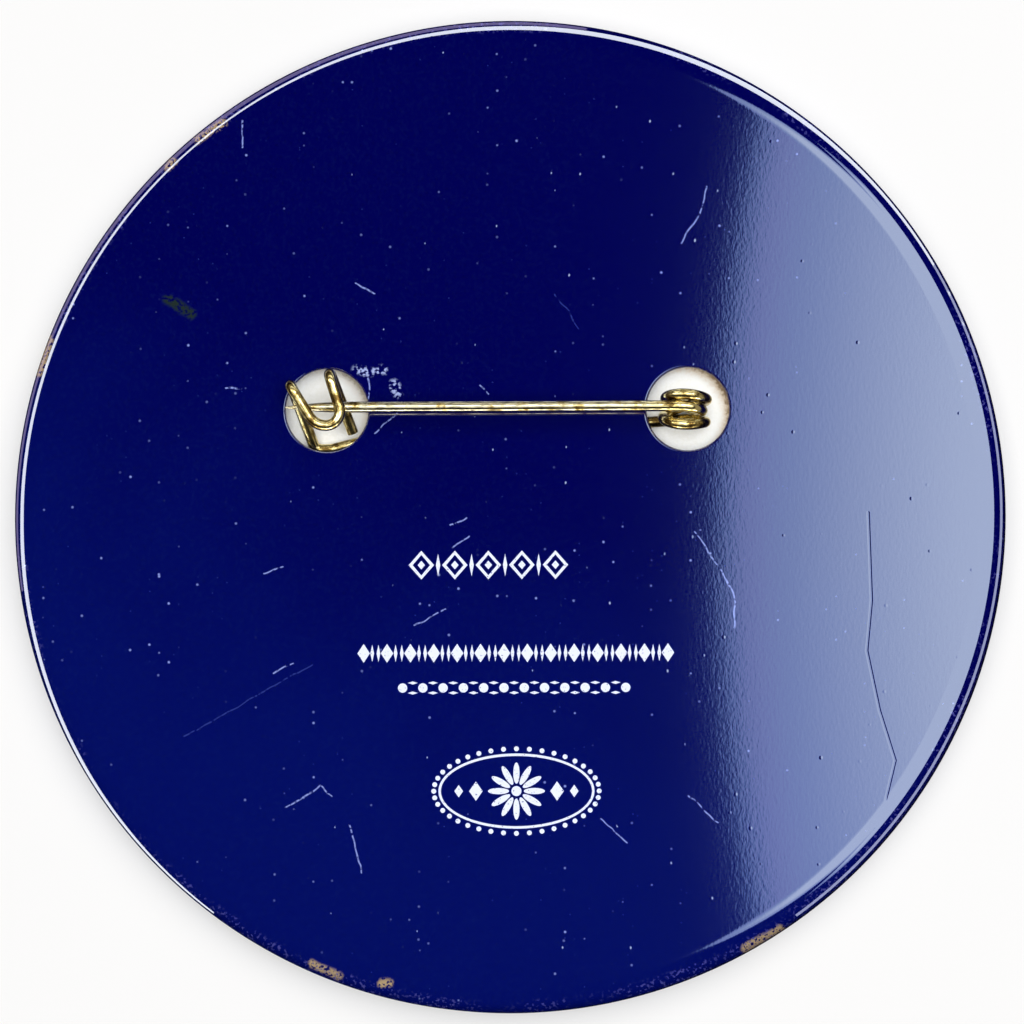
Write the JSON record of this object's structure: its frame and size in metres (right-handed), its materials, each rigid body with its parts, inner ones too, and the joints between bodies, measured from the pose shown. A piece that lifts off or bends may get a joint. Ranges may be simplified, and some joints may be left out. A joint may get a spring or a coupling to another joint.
{
  "type": "button badge",
  "caption": "Round pin-back badge with a dark enamelled tinplate back, a curled rim over a ribbed front sheet, and a sprung wire pin with a folded wire catch.",
  "frame": {"origin": "on the shell's axis, in the plane of the front lip, which is the lowest plane of the part", "axes": "+Z out of the back of the badge, +Y towards the top edge, +X towards the coil end of the pin as seen from the back"},
  "size_m": [0.0635, 0.0634, 0.006],
  "materials": {
    "enamelled_tinplate": "gloss navy litho enamel on tinplate",
    "clear_ribbed_plastic": "clear, fine parallel ribs",
    "printed_paper": "matt print",
    "ivory_card": "smooth ivory card, stained at the edges",
    "brass_plated_wire": "bright brass plate over spring wire, tarnished in the bends"
  },
  "bodies": {
    "badge": {"back_shell": "enamelled_tinplate", "lens_sheet": "clear_ribbed_plastic", "picture_sheet": "printed_paper", "backing_card": "ivory_card", "fixed_leg": "brass_plated_wire", "catch_hook": "brass_plated_wire"},
    "coil": {"spring_coil": "brass_plated_wire"},
    "arm": {"pin_arm": "brass_plated_wire"}
  },
  "joints": [
    {"name": "pin_sideways", "type": "hinge", "parent": "badge", "child": "coil", "pos_m": [0.00947, 0.006, 0.00216], "axis": [0, 0, 1], "range_deg": [-1.5, 9], "stiffness_Nm_per_rad": 0.02},
    {"name": "pin_lift", "type": "hinge", "parent": "coil", "child": "arm", "pos_m": [0.01137, 0.00688, 0.00359], "axis": [0, 1, 0], "range_deg": [0, 45], "deforming": ["spring_coil"]}
  ]
}
